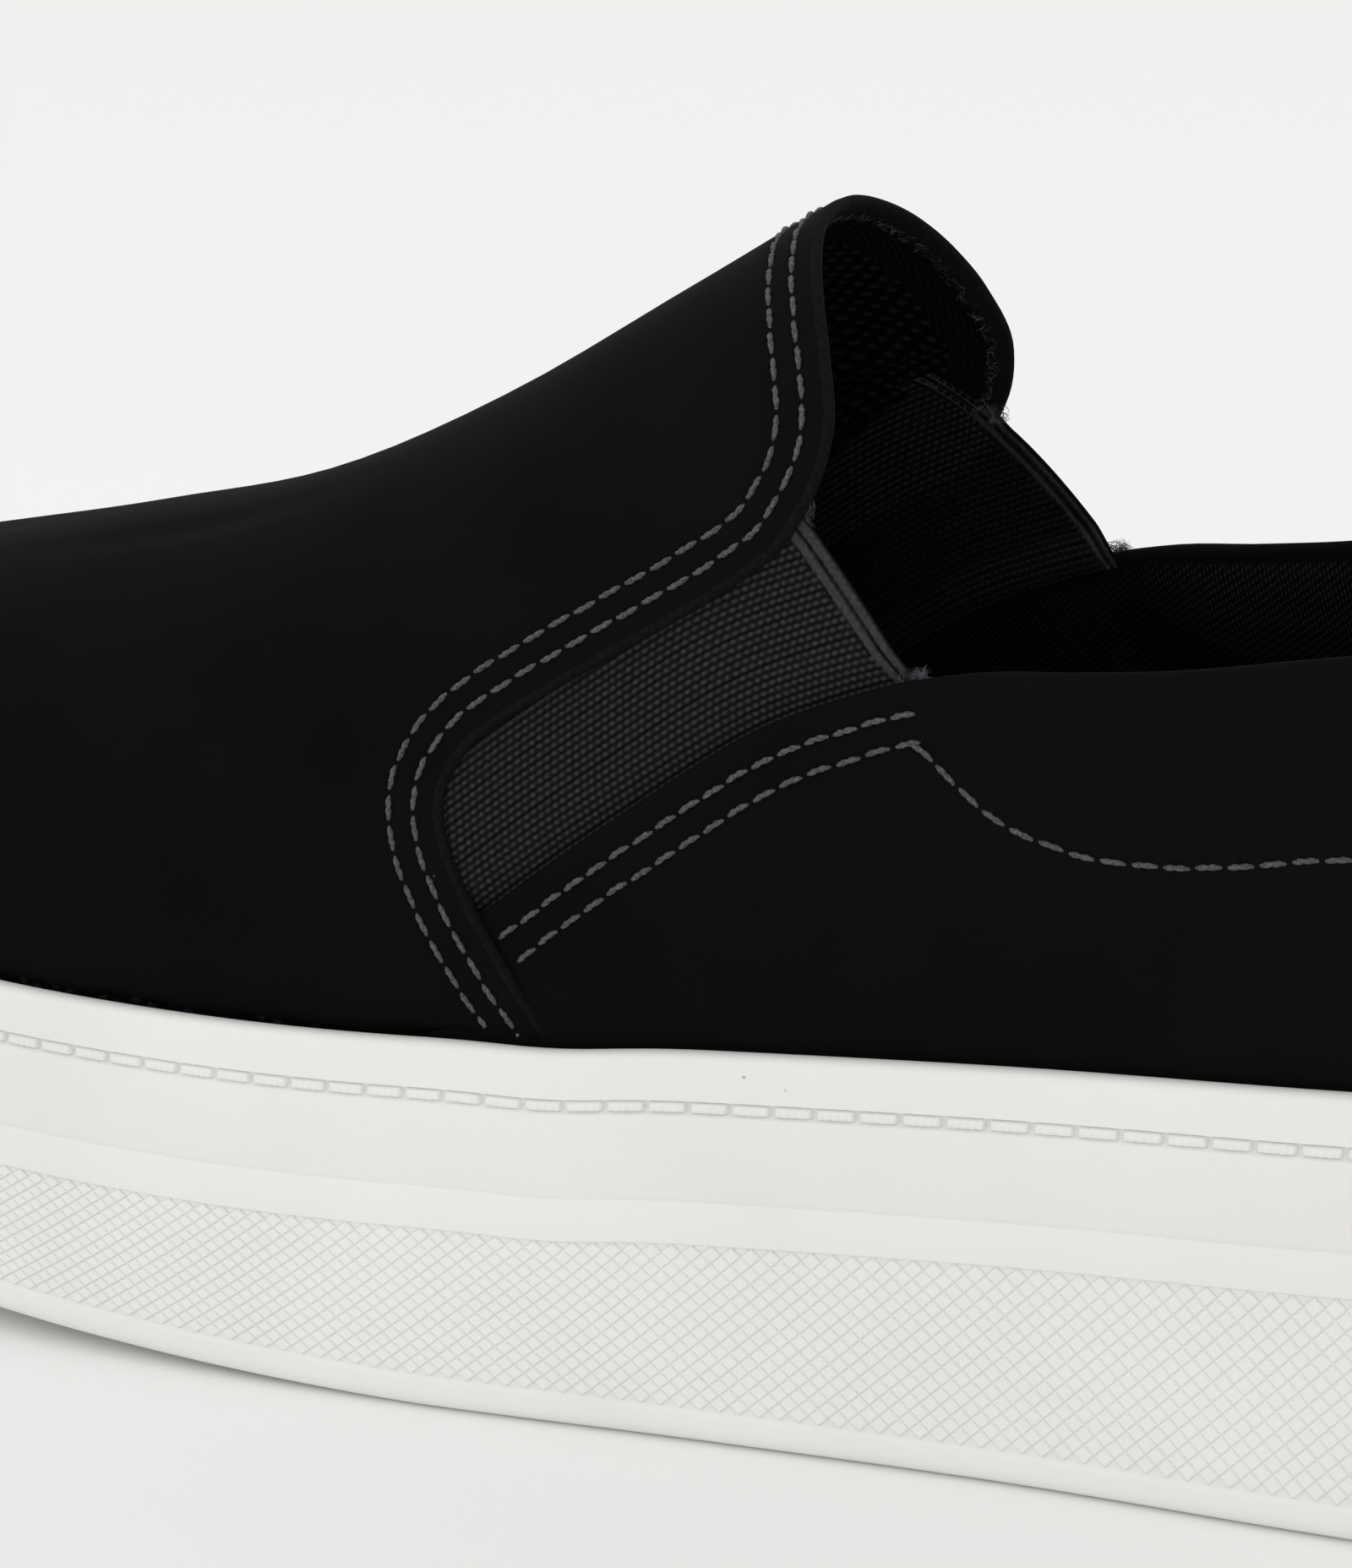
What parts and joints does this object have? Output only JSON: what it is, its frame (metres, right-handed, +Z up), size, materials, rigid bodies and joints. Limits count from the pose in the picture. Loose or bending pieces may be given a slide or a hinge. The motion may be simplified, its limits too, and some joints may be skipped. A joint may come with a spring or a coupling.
{
  "type": "slip-on sneaker",
  "caption": "Black slip-on sneaker with elastic side gores on a thick white platform cupsole, left shoe, standing empty",
  "frame": {"origin": "middle of the shoe's box seen from above, on the plane that the sole stands on", "axes": "+X from heel to toe, +Y to the outer side of the foot, +Z up"},
  "size_m": [0.2616, 0.0912, 0.1139],
  "materials": {
    "sole_rubber": "matte",
    "upper_nubuck": "matte",
    "elastic": "matte",
    "footbed_cloth": "matte",
    "thread": "satin",
    "lining_cloth": "matte"
  },
  "bodies": {
    "root": {"cupsole": "sole_rubber", "upper": "upper_nubuck", "gore_outer": "elastic", "gore_inner": "elastic", "insole": "footbed_cloth"}
  },
  "joints": []
}
